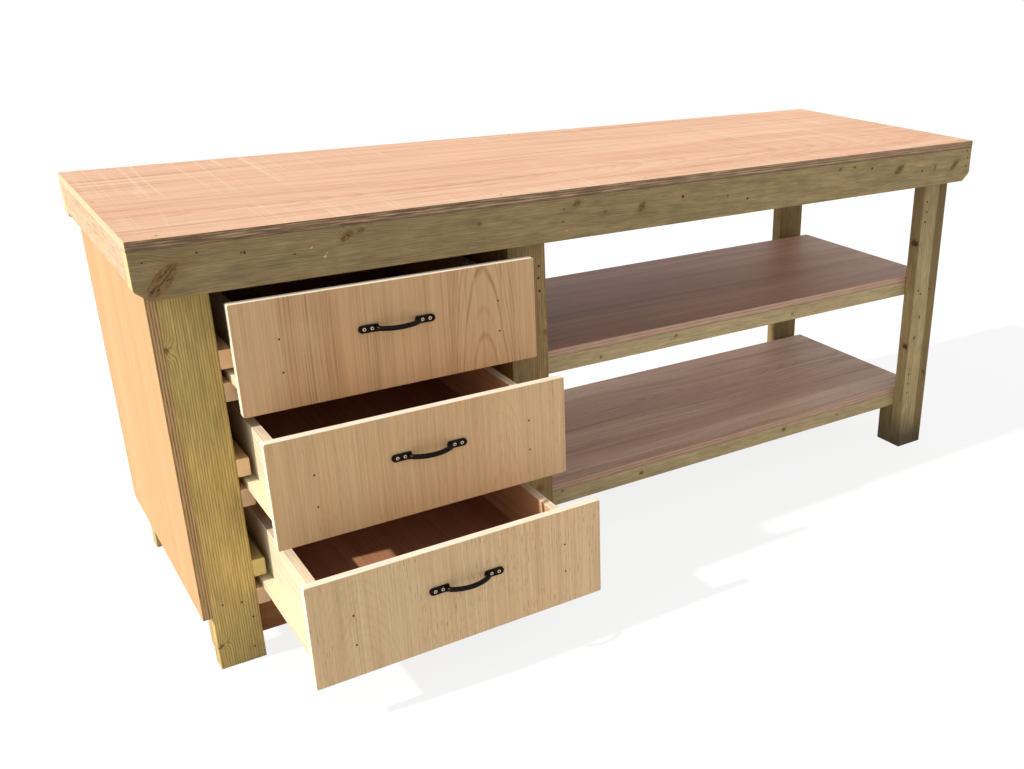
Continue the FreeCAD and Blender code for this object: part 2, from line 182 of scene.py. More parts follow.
def nearestSpot(tree, place, spots, elsewhere=(0, 0, 0)):     # 1 at a spot's rim, and the place within it
    nearest, inside = farAway, elsewhere
    for spot in spots:
        local = addNode(tree, "ShaderNodeMapping", {
            "Vector": place, "Location": tuple(v * mm for v in spot["at"]),
            "Rotation": (0, 0, math.radians(spot.get("turn", 0))),
            "Scale": tuple(v * mm for v in spot["size"]),
        }, vector_type="TEXTURE").outputs[0]
        distance = vectorCalc(tree, "LENGTH", local)
        closer = calc(tree, "LESS_THAN", distance, nearest)
        inside = blend(tree, closer, inside, local, kind="VECTOR")
        nearest = calc(tree, "MINIMUM", nearest, distance)
    return nearest, inside

# Solid softwood timber, pressure treated. Looks are a board's own; the pattern is common to all boards.

timber = {     # ringWidth, pith, heart and the painted fade are in mm, lean in radians
    "tone": colour(176, 151, 109), "late": colour(120, 92, 52), "lateMix": 0.5, "lateShare": 0.5,
    "stain": colour(126, 122, 78), "stainMix": 0.45, "heart": None, "paintedFade": None, "knots": (),
    "knot": colour(150, 109, 71), "knotRim": colour(84, 54, 32), "halo": 0.25, "strayKnots": 0.8,
    "endGrain": 0.9, "ringWidth": 5.0, "unevenness": 1.3, "ripple": 0.5, "patchy": 0.8, "ribs": 0.0004,
    "mottle": 0.12, "pith": (-160, 90), "lean": (0.012, 0.006), "rough": 0.72, "specular": 0.3,
    "damp": 0.0, "dampTone": colour(70, 64, 48), "nicks": (), "nickTone": colour(200, 188, 150),
}
timberPattern = {     # a stretch is how often a noise changes in a metre: along, across, through
    "seedStep": (3.17, 1.31, 2.23),
    "ragged": {"stretch": (130, 190, 190), "reach": (0.009, 0.007, 0.007)},
    "drift": {"stretch": (1.1, 6, 6), "reach": (0, 0.016, 0.016)},
    "sway": {"stretch": (2.5, 8, 8), "reach": (0, 0.012, 0)}, "swayEdge": 5,
    "uneven": 55, "ripple": {"stretch": (5, 150, 150), "detail": 2},
    "patchy": {"stretch": (3, 26, 26), "detail": 3, "limits": (0.32, 0.68)},
    "cloud": {"stretch": (5, 22, 22), "detail": 4, "limits": (0.42, 0.68)},
    "fibre": {"stretch": (28, 420, 420), "detail": 3}, "fibreLimits": (0.3, 0.7, 0.86, 1.12),
    "streak": {"stretch": (7, 130, 130), "detail": 3, "limits": (0.3, 0.7, 0.9, 1.08)},
    "mottle": {"stretch": (22, 60, 60), "detail": 4, "limits": (0.3, 0.7)},
    "endFace": (0.5, 0.8), "quietEnds": 0.75, "endCast": (1, 1.02, 1.1),
    "nick": (0.7, 1.2, 0.75, 0),
    "dampEdge": {"stretch": (14, 30, 30), "detail": 3}, "dampRise": 0.09, "dampLimits": (0.05, 0.17),
    "lateRise": 0.4, "lateBump": -0.6, "fibreBump": 0.6, "endBump": 0.2, "bump": 0.7,
}
knotPattern = {     # the halo, the core and the rim are measured in radii of the knot
    "strays": (5, 9, 9), "strayRadius": 0.06, "strayGrain": (60, 130, 130),
    "bendFall": -0.16, "bend": 0.014, "halo": (0.9, 2.2), "core": (0.7, 1.2, 0.92, 0),
    "streaks": {"stretch": (1.3, 3.4, 1), "detail": 4, "limits": (0.44, 0.6)},
    "breaks": {"stretch": (90, 90, 90), "detail": 2, "limits": (0.42, 0.62, 0.1, 1)},
    "rimInside": (0.7, 0.95), "rimOutside": (0.95, 1.15, 1, 0),
}

def timberKnots(board, look):     # the listed knots, and a few stray ones where nothing is listed
    tree = board.tree
    strays = addNode(tree, "ShaderNodeTexVoronoi", {
        "Vector": scaled(tree, vectorCalc(tree, "ADD", board.ragged, board.seed), knotPattern["strays"]),
        "Scale": 1,
    }).outputs
    dropped = calc(tree, "LESS_THAN", split(tree, strays["Color"])[0], look["strayKnots"])
    strayDistance = calc(tree, "DIVIDE", strays["Distance"], knotPattern["strayRadius"])
    strayDistance = calc(tree, "MULTIPLY_ADD", dropped, farAway, strayDistance)
    strayGrain = scaled(tree, board.grain, knotPattern["strayGrain"])
    listed, inside = nearestSpot(tree, board.ragged, look["knots"], strayGrain)
    return calc(tree, "MINIMUM", strayDistance, listed), inside

def timberRings(board, knot, look):     # the dark part of the growth rings, which bend round the knots
    tree = board.tree
    drifted = wander(tree, board.grain, **timberPattern["drift"])
    drifted = vectorCalc(tree, "SUBTRACT", drifted, board.seed)
    distance = ringDistance(tree, drifted, tuple(v * mm for v in look["pith"]), look["lean"])
    near = times(tree, knot, knot, knotPattern["bendFall"])
    bend = times(tree, calc(tree, "EXPONENT", near), knotPattern["bend"])
    distance = calc(tree, "ADD", distance, bend)
    uneven = noiseAlong(tree, distance, timberPattern["uneven"], board.count)
    ripple = noise(tree, board.grain, **timberPattern["ripple"])
    rings = calc(tree, "DIVIDE", distance, look["ringWidth"] * mm)
    rings = calc(tree, "MULTIPLY_ADD", uneven, look["unevenness"], rings)
    rings = calc(tree, "MULTIPLY_ADD", ripple, look["ripple"], rings)
    share = look["lateShare"]
    rise = share * timberPattern["lateRise"]     # each stop is (place in the ring, how dark)
    stops = ((0, 0.2), (0.1, 0), (1 - share, 0.1), (1 - rise, 0.9), (0.93, 1), (1, 0.2))
    return ramp(tree, calc(tree, "FRACT", rings), stops)

def timberShade(board, late, look):     # ring by ring, with the cloudy stain of the treatment
    tree, grain = board.tree, board.grain
    strength = spread(tree, grain, **timberPattern["patchy"], to=(1 - look["patchy"], 1.0))
    shade = blend(tree, times(tree, late, strength, look["lateMix"]), look["tone"], look["late"])
    cloud = spread(tree, grain, **timberPattern["cloud"])
    shade = blend(tree, times(tree, cloud, look["stainMix"]), shade, look["stain"])
    if look["heart"]:     # browner past a line that runs up the board
        start, tone, mix = look["heart"]
        swayed = split(tree, wander(tree, grain, **timberPattern["sway"]))[1]
        edge = start * mm + board.seed[1]
        past = remap(tree, swayed, edge, edge + timberPattern["swayEdge"] * mm, 0, mix)
        shade = blend(tree, past, shade, tone)
    return shade

def timberValue(board, fibre, look):     # how light each place is, quieter on the end faces
    tree, grain = board.tree, board.grain
    streak = spread(tree, grain, **timberPattern["streak"])
    mottle = spread(tree, grain, **timberPattern["mottle"], to=(1 - look["mottle"], 1 + look["mottle"]))
    value = times(tree, remap(tree, fibre, *timberPattern["fibreLimits"]), streak, mottle)
    # painted light and shade: the tone drifts to gain times itself along the board
    if look["paintedFade"]:
        start, end, gain = look["paintedFade"]
        value = times(tree, value, remap(tree, board.along, start * mm, end * mm, 1, gain))
    quiet = times(tree, board.ends, timberPattern["quietEnds"])
    return calc(tree, "MULTIPLY_ADD", quiet, calc(tree, "SUBTRACT", 1, value), value)

def addKnots(board, shade, knot, inside, look):     # streaked wood, a broken dark rim and a faint halo
    tree = board.tree
    shade = blend(tree, remap(tree, knot, *knotPattern["halo"], look["halo"], 0), shade, look["knot"])
    streaks = spread(tree, inside, **knotPattern["streaks"])
    core = blend(tree, streaks, look["knot"], look["knotRim"])
    inner = remap(tree, knot, *knotPattern["rimInside"])
    outer = remap(tree, knot, *knotPattern["rimOutside"])
    rim = times(tree, inner, outer, spread(tree, board.grain, **knotPattern["breaks"]))
    core = blend(tree, rim, core, look["knotRim"])
    return blend(tree, remap(tree, knot, *knotPattern["core"]), shade, core)

def addWear(board, shade, look):
    tree = board.tree
    if look["nicks"]:     # small pale chips in the face
        nearest = nearestSpot(tree, board.ragged, look["nicks"])[0]
        shade = blend(tree, remap(tree, nearest, *timberPattern["nick"]), shade, look["nickTone"])
    if look["damp"]:     # the foot stands in the wet
        edge = noise(tree, board.grain, **timberPattern["dampEdge"])
        height = calc(tree, "MULTIPLY_ADD", edge, timberPattern["dampRise"], board.along)
        wet = remap(tree, height, *timberPattern["dampLimits"], look["damp"], 0)
        shade = blend(tree, wet, shade, look["dampTone"])
    return shade

def timberMaterial(name, node, axes, count, look):
    look = {**timber, **look}
    board = startBoard(name, node, axes, count, look, timberPattern["seedStep"])
    tree = board.tree
    board.ragged = wander(tree, board.place, **timberPattern["ragged"])
    board.ends = remap(tree, board.facing[0], *timberPattern["endFace"])
    knot, inside = timberKnots(board, look)
    late = timberRings(board, knot, look)
    fibre = noise(tree, board.grain, **timberPattern["fibre"])
    shade = toned(tree, timberShade(board, late, look), timberValue(board, fibre, look))
    shade = addWear(board, addKnots(board, shade, knot, inside, look), look)
    cut = tuple(look["endGrain"] * part for part in timberPattern["endCast"])
    paint(tree, board.surface, blend(tree, board.ends, shade, toned(tree, shade, (*cut, 1))))
    height = times(tree, fibre, timberPattern["fibreBump"])
    height = calc(tree, "MULTIPLY_ADD", late, timberPattern["lateBump"], height)
    lower = remap(tree, board.facing[0], *timberPattern["endFace"], 1, timberPattern["endBump"])
    addBump(tree, board.surface, times(tree, height, lower), look["ribs"], timberPattern["bump"])
    return board.made

# Plywood: a thin face veneer over crossed layers

plywood = {     # bandWidth, zones, arch, the painted fade and margin are in mm
    "tone": colour(232, 181, 129), "deep": colour(205, 140, 88), "deepMix": 0.5, "bandWidth": 60,
    "line": colour(170, 105, 60), "lineMix": 0.35, "zones": (), "zoneMix": 0.5, "arch": None, "wave": 0.02,
    "pores": 0.12, "dashes": 0.0, "sanded": 0.0, "blush": None, "paintedFade": None, "paintedFadeAlong": False,
    "margin": None, "marks": (), "edge": colour(222, 202, 172), "edgeDark": colour(196, 164, 128),
    "edgeMix": 0.4, "layers": 9, "endTone": None, "torn": None, "seam": 0.0, "rough": 0.66, "specular": 0.3,
}
veneerPattern = {
    "seedStep": (2.71, 1.93, 3.37), "wave": (2.2, 7, 0),
    "bandAlong": 0.8, "bandThrough": 3, "bandDetail": 3,
    "streak": {"stretch": (2.4, 150, 3), "detail": 3}, "streakShare": 0.6, "deepLimits": (0.62, 1.0),
    "fine": {"stretch": (5, 420, 9), "detail": 3}, "fineLimits": (0.3, 0.7, 0.9, 1.08),
    "cloud": {"detail": 4, "limits": (0.4, 0.66)},
    "thin": {"stretch": (1.6, 230, 3), "detail": 3, "limits": (0.47, 0.64, 0.25, 1)},
    "crowd": {"stretch": (7, 9, 1), "detail": 2, "limits": (0.3, 0.6, 0.5, 1)},
    "zoneEdge": {"stretch": (4, 4, 0), "reach": (0, 0.02, 0)}, "zoneSoft": 9,
    "drawn": {"stretch": (1.6, 60, 2), "detail": 4, "limits": (0.5, 0.72)},
    "pores": {"stretch": (55, 1300, 20), "detail": 1, "limits": (0.6, 0.72)}, "poreShade": 0.6,
    "dash": {"stretch": (38, 480, 20), "detail": 2, "limits": (0.58, 0.68)}, "dashShade": 0.8,
    "dashCrowd": {"stretch": (9, 14, 1), "detail": 2, "limits": (0.4, 0.6, 0.25, 1)},
    "marginEdge": 1, "mark": (0.7, 1.3, 0.9, 0), "markTone": colour(62, 40, 26),
    "poreBump": -0.6, "fineBump": 0.5, "bumpDepth": 0.00025, "bump": 0.5,
}
archPattern = {
    "wave": {"stretch": (9, 26, 0), "reach": (0.012, 0.008, 0)}, "uneven": 90, "unevenShare": 1.6,
    "ring": ((0, 0), (0.55, 0.05), (0.84, 0.9), (0.9, 1), (1, 0)), "outerShare": 0.5, "reachShare": 0.7,
    "worn": {"stretch": (16, 40, 1), "detail": 2, "limits": (0.3, 0.6, 0.35, 1)},
}
sanding = {     # pale lines left by the sander across the grain, and a few along it
    "tone": colour(255, 236, 218),
    "rubbed": {"stretch": (1.3, 3, 0), "detail": 2, "limits": (0.4, 0.6, 0.15, 1)},
    "lines": (
        {"stretch": (11, 0.35, 0), "wide": 0.013, "strength": 0.8},
        {"stretch": (31, 0.5, 0.7), "wide": 0.03, "strength": 0.4},
        {"stretch": (0.4, 13, 0), "wide": 0.014, "strength": 0.4},
    ),
}
edgePattern = {
    "level": {"stretch": (12, 12, 0), "detail": 2}, "levelShare": 0.25, "layerLimits": (0.35, 0.65),
    "speckle": {"stretch": (30, 30, 260), "detail": 3, "limits": (0.3, 0.7)}, "speckleShare": 0.5,
    "worn": {"stretch": (14, 14, 260), "detail": 3, "limits": (0.3, 0.7, 0.86, 1.1)},
    "torn": {"stretch": (14, 14, 210), "detail": 4}, "tornHeight": 0.12, "tornLimits": (0.45, 0.66),
    "seam": (0.6, 1.6), "seamTone": colour(40, 28, 18), "endFace": (0.6, 0.8, 0, 0.85), "face": (0.45, 0.75),
}

def archLines(tree, place, arch):     # nested arches where the knife cut past the heart
    lifted = addNode(tree, "ShaderNodeMapping", {
        "Vector": wander(tree, place, **archPattern["wave"]), "Location": (-arch["apex"] * mm, 0, 0),
    }).outputs[0]
    pith = (arch["middle"] * mm, -arch["depth"] * mm)
    distance = ringDistance(tree, lifted, pith, (0, -arch["slope"]))
    if "rings" in arch:     # each listed ring is (radius, width, strength) in mm
        span, stops = arch["span"], [(0, 0)]
        for radius, wide, strength in arch["rings"]:
            outer = radius + wide * archPattern["outerShare"]
            stops += [((radius - wide) / span, 0), (radius / span, strength), (outer / span, 0)]
        lines = ramp(tree, calc(tree, "DIVIDE", distance, span * mm), stops)
    else:
        uneven = noiseAlong(tree, distance, archPattern["uneven"])
        rings = calc(tree, "DIVIDE", distance, arch["spacing"] * mm)
        rings = calc(tree, "MULTIPLY_ADD", uneven, archPattern["unevenShare"], rings)
        lines = ramp(tree, calc(tree, "FRACT", rings), archPattern["ring"])
    aside = calc(tree, "ABSOLUTE", calc(tree, "SUBTRACT", split(tree, place)[1], arch["middle"] * mm))
    reach = arch["reach"] * mm
    within = remap(tree, aside, reach * archPattern["reachShare"], reach, 1, 0)
    return times(tree, lines, within, spread(tree, place, **archPattern["worn"]), arch["mix"])

def zoneMask(tree, position, zones, soft):     # 1 within the listed stretches, in mm
    mask = 0.0
    for start, end, strength in zones:
        opens = remap(tree, position, (start - soft) * mm, (start + soft) * mm, 0, strength)
        closes = remap(tree, position, (end - soft) * mm, (end + soft) * mm, 1, 0)
        mask = calc(tree, "MAXIMUM", mask, times(tree, opens, closes))
    return mask

def veneerShade(board, look):     # the sheet's own colour, in bands and fine streaks
    tree = board.tree
    stretch = (veneerPattern["bandAlong"], 1 / (look["bandWidth"] * mm), veneerPattern["bandThrough"])
    band = noise(tree, board.wavy, stretch, veneerPattern["bandDetail"])
    streak = noise(tree, board.wavy, **veneerPattern["streak"])
    deep = calc(tree, "MULTIPLY_ADD", streak, veneerPattern["streakShare"], band)
    deep = remap(tree, deep, *veneerPattern["deepLimits"], 0, look["deepMix"])
    face = blend(tree, deep, look["tone"], look["deep"])
    face = toned(tree, face, remap(tree, board.fine, *veneerPattern["fineLimits"]))
    if look["blush"]:     # a redder or greyer cloud over part of the sheet
        cloud = spread(tree, board.wavy, look["blush"]["stretch"], **veneerPattern["cloud"])
        face = blend(tree, times(tree, cloud, look["blush"]["mix"]), face, look["blush"]["tone"])
    return face

def addFigure(board, face, look):     # the dark lines of the grain, wide ones first
    tree = board.tree
    if look["zones"]:     # stretches of the sheet where thin dark streaks crowd together
        swayed = split(tree, wander(tree, board.place, **veneerPattern["zoneEdge"]))[1]
        crowd = zoneMask(tree, swayed, look["zones"], veneerPattern["zoneSoft"])
        thin = spread(tree, board.wavy, **veneerPattern["thin"])
        broken = spread(tree, board.grain, **veneerPattern["crowd"])
        face = blend(tree, times(tree, thin, crowd, broken, look["zoneMix"]), face, look["line"])
    if look["arch"]:
        face = blend(tree, archLines(tree, board.place, look["arch"]), face, look["line"])
    drawn = spread(tree, board.wavy, **veneerPattern["drawn"])
    face = blend(tree, times(tree, drawn, look["lineMix"]), face, look["line"])
    pore = darker(look["line"], veneerPattern["poreShade"])
    face = blend(tree, times(tree, board.pores, look["pores"]), face, pore)
    if look["dashes"]:     # open pores, long enough to see one by one
        dash = spread(tree, board.wavy, **veneerPattern["dash"])
        crowd = spread(tree, board.grain, **veneerPattern["dashCrowd"])
        tone = darker(look["line"], veneerPattern["dashShade"])
        face = blend(tree, times(tree, dash, crowd, look["dashes"]), face, tone)
    return face

def finishFace(board, face, look):     # what work and light left on the sheet
    tree = board.tree
    if look["sanded"]:
        lines = 0.0
        for line in sanding["lines"]:
            found = contour(tree, board.grain, line["stretch"], line["wide"])
            lines = calc(tree, "MAXIMUM", lines, times(tree, found, line["strength"]))
        lines = times(tree, lines, spread(tree, board.grain, **sanding["rubbed"]), look["sanded"])
        face = blend(tree, lines, face, sanding["tone"])
    if look["paintedFade"]:     # painted light and shade: the tone drifts to gain times itself, along or across the sheet
        start, end, gain = look["paintedFade"]
        drift = remap(tree, board.along if look["paintedFadeAlong"] else board.across, start * mm, end * mm)
        face = blend(tree, drift, face, toned(tree, face, (*gain, 1)))
    if look["margin"]:     # the strips that stand out past the drawer's sides keep the ply's own pale tone, where the rest of the base is painted darker as painted shade inside the box
        wide, tone = look["margin"]
        inner, outer = (wide - veneerPattern["marginEdge"]) * mm, wide * mm
        low = remap(tree, board.across, inner, outer, 1, 0)
        high = remap(tree, board.across, board.size[1] - outer, board.size[1] - inner)
        face = blend(tree, calc(tree, "MAXIMUM", low, high), face, tone)
    if look["marks"]:
        nearest = nearestSpot(tree, board.place, look["marks"])[0]
        face = blend(tree, remap(tree, nearest, *veneerPattern["mark"]), face, veneerPattern["markTone"])
    return face

def plyEdge(board, look):     # the crossed layers on the edges
    tree, grain, thick = board.tree, board.grain, board.size[2]
    level = calc(tree, "SUBTRACT", noise(tree, grain, **edgePattern["level"]), noiseMiddle)
    flat = times(tree, board.through, look["layers"] / thick)
    level = calc(tree, "MULTIPLY_ADD", level, edgePattern["levelShare"], flat)
    layer = remap(tree, calc(tree, "PINGPONG", level, 1.0), *edgePattern["layerLimits"])
    mix = (look["edgeMix"] * edgePattern["speckleShare"], look["edgeMix"])
    speckle = spread(tree, grain, **edgePattern["speckle"], to=mix)
    rim = blend(tree, times(tree, layer, speckle), look["edge"], look["edgeDark"])
    rim = toned(tree, rim, spread(tree, grain, **edgePattern["worn"]))
    if look["torn"]:     # dark ragged wood in the upper layers, fading towards the far end
        torn = look["torn"]
        patch = noise(tree, grain, **edgePattern["torn"])
        dark = calc(tree, "MULTIPLY_ADD", board.through, edgePattern["tornHeight"] / thick, patch)
        fading = remap(tree, board.along, 0, board.size[0], torn["near"], torn["far"])
        dark = times(tree, remap(tree, dark, *edgePattern["tornLimits"]), fading)
        rim = blend(tree, dark, rim, torn["tone"])
    if look["endTone"]:
        rim = blend(tree, remap(tree, board.facing[0], *edgePattern["endFace"]), rim, look["endTone"])
    if look["seam"]:     # the shut line where the sheet lies on its rail, painted dark as painted shade in the gap
        low, high = edgePattern["seam"]
        shut = remap(tree, board.through, low * mm, high * mm, look["seam"], 0)
        rim = blend(tree, shut, rim, edgePattern["seamTone"])
    return rim

def plywoodMaterial(name, node, axes, count, look):
    look = {**plywood, **look}
    board = startBoard(name, node, axes, count, look, veneerPattern["seedStep"])
    tree = board.tree
    board.wavy = wander(tree, board.grain, veneerPattern["wave"], (0, look["wave"], 0))
    board.fine = noise(tree, board.wavy, **veneerPattern["fine"])
    board.pores = spread(tree, board.grain, **veneerPattern["pores"])
    face = finishFace(board, addFigure(board, veneerShade(board, look), look), look)
    onFace = remap(tree, board.facing[2], *edgePattern["face"])
    paint(tree, board.surface, blend(tree, onFace, plyEdge(board, look), face))
    height = times(tree, board.fine, veneerPattern["fineBump"])
    height = calc(tree, "MULTIPLY_ADD", board.pores, veneerPattern["poreBump"], height)
    addBump(tree, board.surface, height, veneerPattern["bumpDepth"], veneerPattern["bump"])
    return board.made

def dress(node, material):
    mesh = nodes[node].data
    mesh.materials.clear()
    mesh.materials.append(material)

# Which pieces are timber. Spots are in millimetres from the board's low corner: along, across, through.

knotDepth = 18     # how far a listed knot reaches in from the face

def knotOn(along, across, length, width, turn=0):
    return {"at": (along, across, 0), "size": (length / 2, width / 2, knotDepth), "turn": turn}

apronTone = {
    "tone": colour(151, 130, 91), "late": colour(92, 74, 46), "stain": colour(108, 106, 74),
    "knot": colour(134, 104, 62), "knotRim": colour(68, 43, 25),
}
timberPieces = {
    "front_apron": ("xzy", {
        **apronTone, "pith": (-90, 60), "lean": (0.02, 0), "ringWidth": 3.6, "lateShare": 0.4, "halo": 0.5,
        # the fade is painted light, the apron lighter towards its right end
        "strayKnots": 1.0, "endGrain": 2.7, "mottle": 0.1, "stainMix": 0.26, "paintedFade": (200, 1900, 1.27),
        "knots": (
            knotOn(49, 34, 72, 27, 47), knotOn(373, 70, 28, 13, 35), knotOn(400, 77, 16, 8, 20),
            knotOn(640, 58, 9, 6, 40), knotOn(865, 75, 20, 12, 25), knotOn(1028, 49, 24, 14, 60),
            knotOn(934, 49, 7, 6), knotOn(1138, 59, 7, 7), knotOn(1617, 76, 12, 6, 50),
            knotOn(1665, 76, 9, 6), knotOn(1826, 55, 34, 16, 35), knotOn(1960, 47, 12, 6, 80),
            knotOn(2036, 47, 36, 13, 40),
        ),
        "nicks": (
            knotOn(306, 56, 6, 3, 60), knotOn(329, 37, 8, 4, 70), knotOn(334, 44, 4, 3),
            knotOn(838, 20, 5, 3),
        ),
    }),
    "rear_apron": ("xzy", {**apronTone, "pith": (150, -60), "ringWidth": 5.2, "endGrain": 2.7}),
    "end_rail_left": ("yzx", {
        "tone": colour(207, 174, 144), "late": colour(184, 144, 92), "lateMix": 0.35, "ringWidth": 5.5,
        "stain": colour(200, 172, 122), "stainMix": 0.25, "pith": (-120, 60), "mottle": 0.05,
    }),
    "end_rail_right": ("yzx", {**apronTone, "pith": (140, 40)}),
    "cross_rail": ("yzx", {**apronTone, "pith": (-70, 120)}),
    "leg_front_left": ("zxy", {
        "tone": colour(214, 184, 114), "late": colour(106, 84, 38), "lateMix": 0.8, "lateShare": 0.36,
        "unevenness": 0.5, "ripple": 0.12, "patchy": 0.3, "stain": colour(166, 148, 84), "stainMix": 0.25,
        "mottle": 0.04, "pith": (-600, -70), "lean": (-0.004, 0), "ringWidth": 4.65, "strayKnots": 1.0,
        # the fade is painted shade, the leg darker at its top under the apron
        "paintedFade": (250, 650, 0.84), "knots": (knotOn(682, 3, 13, 10), knotOn(52, 6, 16, 6, 60)), "damp": 0.2,
    }),
    "leg_front_middle": ("zxy", {
        "tone": colour(162, 134, 88), "late": colour(98, 76, 42), "pith": (200, 60), "ringWidth": 5.5,
        "patchy": 0.6, "strayKnots": 1.0, "damp": 0.5,
        "knots": (knotOn(577, 84, 13, 9), knotOn(201, 56, 20, 18)),
    }),
    "leg_front_right": ("zxy", {
        "tone": colour(187, 165, 119), "late": colour(118, 96, 58), "pith": (-160, -190),
        "lean": (0.003, 0.002), "ringWidth": 5.6, "lateMix": 0.4, "stainMix": 0.2, "mottle": 0.07,
        # the fade is painted shade, the leg darker at its top under the apron
        "strayKnots": 1.0, "damp": 0.85, "heart": (55, colour(120, 94, 52), 0.8), "paintedFade": (380, 780, 0.76),
        "knot": colour(100, 70, 42), "knotRim": colour(54, 34, 20),
        "knots": (
            knotOn(338, 20, 12, 7, 30), knotOn(221, 76, 24, 9, -30), knotOn(400, 32, 7, 6),
            {"at": (615, 0, 17), "size": (9, 12, 13)}, {"at": (313, 0, 13), "size": (8, 12, 9)},
        ),
    }),
    "leg_rear_left": ("zxy", {"tone": colour(224, 198, 142), "pith": (-160, 90), "damp": 0.15}),
    "leg_rear_middle": ("zxy", {"tone": colour(160, 136, 92), "pith": (170, -80), "damp": 0.5}),
    "leg_rear_right": ("zxy", {
        "tone": colour(142, 118, 76), "late": colour(92, 68, 38), "pith": (-120, 150), "strayKnots": 1.0,
        "damp": 0.5,
    }),
    "shelf_post_front": ("zxy", {"tone": colour(150, 128, 84), "pith": (120, 140), "damp": 0.5}),
    "shelf_post_rear": ("zxy", {"tone": colour(170, 142, 92), "pith": (-100, 90), "damp": 0.5}),
}

shelfRail = {
    "tone": colour(196, 174, 132), "late": colour(140, 114, 72), "lateMix": 0.45, "stainMix": 0.16,
    "ringWidth": 4.5, "mottle": 0.06, "strayKnots": 1.0,
}
timberPieces["upper_shelf_front_rail"] = ("xzy", {
    **shelfRail, "pith": (120, -60),
    "knots": (knotOn(444, 26, 8, 6), knotOn(230, 14, 9, 7, 30), knotOn(819, 17, 8, 6)),
})
timberPieces["lower_shelf_front_rail"] = ("xzy", {
    **shelfRail, "pith": (-140, 50),
    "knots": (
        knotOn(813, 24, 15, 10), knotOn(344, 20, 14, 9), knotOn(1010, 22, 7, 6), knotOn(117, 34, 8, 5),
    ),
})
for rail in ("upper_shelf_rear_rail", "lower_shelf_rear_rail"):
    timberPieces[rail] = ("xzy", {**shelfRail, "pith": (100, 120), "strayKnots": 0.85})

runnerLook = {
    "tone": colour(224, 188, 142), "late": colour(194, 150, 100), "lateMix": 0.4, "stainMix": 0.03,
    "mottle": 0.04, "patchy": 0.4, "endGrain": 1.1, "ringWidth": 3.6, "strayKnots": 0.93, "ribs": 0.0003,
}
runnerPith = {"first": (-60, 50), "step": (23, -17)}     # each batten is cut from another part of the log
for number, runner in enumerate(sorted(name for name in nodes if name.startswith("runner_"))):
    pith = tuple(first + step * number for first, step in zip(runnerPith["first"], runnerPith["step"]))
    timberPieces[runner] = ("yzx", {**runnerLook, "pith": pith})
greenRunner = {"tone": colour(206, 184, 118), "late": colour(150, 138, 74), "pith": (-40, -40)}
timberPieces["runner_bottom_upper_left"][1].update(greenRunner)

for number, (node, (axes, look)) in enumerate(timberPieces.items()):
    dress(node, timberMaterial(node + "_wood", node, axes, number + 1, look))
print("timber dressed:", len(timberPieces), "pieces")

# Which pieces are plywood

nailMark = {"size": 5, "depth": 200}     # in mm

def nail(along, across):
    half = nailMark["size"] / 2
    return {"at": (along, across, 0), "size": (half, half, nailMark["depth"] / 2)}

# shared by both shelves, which set their own tones; the upper shelf's darker browns are painted shade
shelfPly = {
    "tone": colour(173, 134, 112), "deep": colour(136, 92, 76), "deepMix": 0.6, "line": colour(112, 72, 58),
    "lineMix": 0.4, "edge": colour(204, 166, 140), "edgeDark": colour(150, 106, 82), "edgeMix": 0.6,
    "layers": 5, "seam": 0.7, "bandWidth": 40, "wave": 0.04, "dashes": 0.45,
}
plywoodPieces = {
    "worktop": ("xyz", {
        "tone": colour(214, 174, 145), "deep": colour(200, 146, 113), "bandWidth": 55,
        "line": colour(166, 110, 80), "lineMix": 0.42, "sanded": 0.24, "wave": 0.03,
        "edge": colour(184, 156, 122), "edgeDark": colour(112, 84, 60), "edgeMix": 0.75, "layers": 7,
        "seam": 0.9, "torn": {"tone": colour(88, 58, 38), "near": 0.75, "far": 0.3},
        "endTone": colour(226, 200, 160),
        "arch": {"middle": 170, "apex": 560, "depth": 90, "slope": 0.12, "spacing": 8, "reach": 200,
            "mix": 0.25},
        "marks": (nail(55, 21), nail(11, 354), nail(39, 698), nail(700, 20), nail(1050, 18),
            nail(1060, 682), nail(2070, 22), nail(2086, 350), nail(1560, 19), nail(1590, 682)),
    }),
    "side_panel": ("zyx", {
        "tone": colour(216, 165, 116), "deep": colour(206, 145, 96), "deepMix": 0.4, "bandWidth": 90,
        "line": colour(190, 132, 84), "lineMix": 0.16, "pores": 0.08, "edge": colour(196, 160, 110),
        "edgeDark": colour(104, 76, 46), "edgeMix": 0.85, "layers": 7,
    }),
    "back_panel": ("zxy", {"tone": colour(214, 166, 120)}),
    "divider_panel": ("zyx", {"tone": colour(180, 138, 104), "edge": colour(180, 144, 108)}),
    "kick_board": ("xzy", {
        "tone": colour(156, 106, 60), "deep": colour(112, 65, 33), "edge": colour(190, 150, 110),
    }),
    "upper_shelf": ("xyz", {
        # its tones are darker than the lower shelf's, painted shade under the worktop; the fade paints a
        # bluish light and sheen, growing towards the right end
        **shelfPly, "tone": colour(172, 126, 100), "deep": colour(135, 87, 68), "line": colour(111, 68, 52),
        "rough": 0.5, "specular": 0.45, "paintedFade": (100, 1300, (1.52, 1.95, 2.25)), "paintedFadeAlong": True,
        "blush": {"stretch": (1.1, 9, 1), "mix": 0.55, "tone": colour(141, 92, 73)},
        "arch": {"middle": 210, "apex": 500, "depth": 60, "slope": 0.06, "spacing": 7, "reach": 200,
            "mix": 0.12},
    }),
    "lower_shelf": ("xyz", {
        **shelfPly, "rough": 0.55, "specular": 0.4, "tone": colour(235, 208, 184),
        "deep": colour(193, 150, 128), "line": colour(146, 98, 80),
        "blush": {"stretch": (1.3, 9, 1), "mix": 0.6, "tone": colour(197, 152, 131)},
        # the fade is painted shade, darker at the right end
        "paintedFade": (950, 1300, (0.8, 0.8, 0.82)), "paintedFadeAlong": True,
        "arch": {"middle": 330, "apex": 1150, "depth": 90, "slope": 0.12, "spacing": 9, "reach": 170,
            "mix": 0.3},
    }),
}

